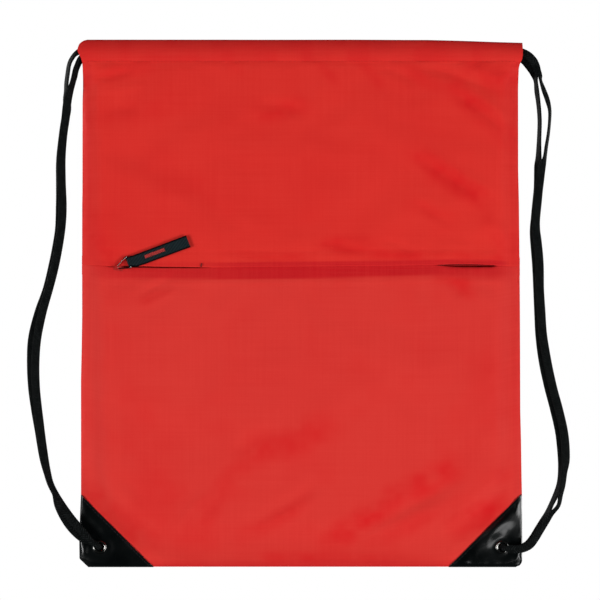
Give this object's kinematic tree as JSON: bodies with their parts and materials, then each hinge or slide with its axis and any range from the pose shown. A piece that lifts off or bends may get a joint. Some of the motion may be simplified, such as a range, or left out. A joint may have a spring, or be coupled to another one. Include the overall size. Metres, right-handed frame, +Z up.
{
  "type": "drawstring backpack",
  "caption": "Flat fabric drawstring backpack with a corded casing mouth, shoulder cords through eyeleted corner patches and a front zip pocket.",
  "frame": {"origin": "middle of the back panel's bottom edge, in the plane of the bag's back", "axes": "+X to the wearer's left as the front is looked at from outside, which is the viewer's right; +Y out of the back; +Z up to the mouth; the front faces -Y"},
  "size_m": [0.4304, 0.0325, 0.42],
  "materials": {
    "shell_fabric": "matte",
    "lining_fabric": "matte",
    "seam_tape": "matte",
    "patch_vinyl": "gloss",
    "nickel": "satin",
    "cord_braid": "matte",
    "zip_tape": "matte",
    "zip_coil": "satin",
    "slider_paint": "satin",
    "ribbon_weave": "matte",
    "red_thread": "matte"
  },
  "bodies": {
    "root": {"back_panel": "shell_fabric", "front_upper_panel": "shell_fabric", "front_lower_panel": "shell_fabric", "pocket_lining": "lining_fabric", "front_casing": "shell_fabric", "back_casing": "shell_fabric", "side_seam_left": "seam_tape", "side_seam_right": "seam_tape", "bottom_seam": "seam_tape", "corner_patch_front_left": "patch_vinyl", "corner_patch_front_right": "patch_vinyl", "corner_patch_back_left": "patch_vinyl", "corner_patch_back_right": "patch_vinyl", "eyelet_left": "nickel", "eyelet_right": "nickel", "eyelet_washer_left": "nickel", "eyelet_washer_right": "nickel", "left_cord_knot": "cord_braid", "right_cord_knot": "cord_braid", "zip_tape_upper": "zip_tape", "zip_tape_lower": "zip_tape", "zip_coil_upper": "zip_coil", "zip_coil_lower": "zip_coil", "zip_tacks": "red_thread"},
    "left_cord": {"left_cord_run": "cord_braid", "left_strap": "cord_braid"},
    "right_cord": {"right_cord_run": "cord_braid", "right_strap": "cord_braid"},
    "slider": {"slider_body": "slider_paint"},
    "pull_ring": {"pull_ring": "nickel"},
    "pull_tab": {"pull_tab": "ribbon_weave", "pull_tab_stitch": "red_thread"}
  },
  "joints": [
    {"name": "left_cord_draw", "type": "slide", "parent": "root", "child": "left_cord", "axis": [-1, 0, 0], "range_m": [0, 0.095], "deforming": ["front_casing", "back_casing"]},
    {"name": "right_cord_draw", "type": "slide", "parent": "root", "child": "right_cord", "axis": [1, 0, 0], "range_m": [0, 0.095], "deforming": ["front_casing", "back_casing"]},
    {"name": "zip_slide", "type": "slide", "parent": "root", "child": "slider", "axis": [1, 0, 0], "range_m": [0, 0.288]},
    {"name": "pull_ring_swing", "type": "hinge", "parent": "slider", "child": "pull_ring", "pos_m": [-0.145, -0.0214, 0.2394], "axis": [0.3535, 0, -0.9354], "range_deg": [0, 100]},
    {"name": "pull_tab_swing", "type": "hinge", "parent": "pull_ring", "child": "pull_tab", "pos_m": [-0.1363, -0.0214, 0.24269], "axis": [0.3535, 0, -0.9354], "range_deg": [0, 70]}
  ]
}
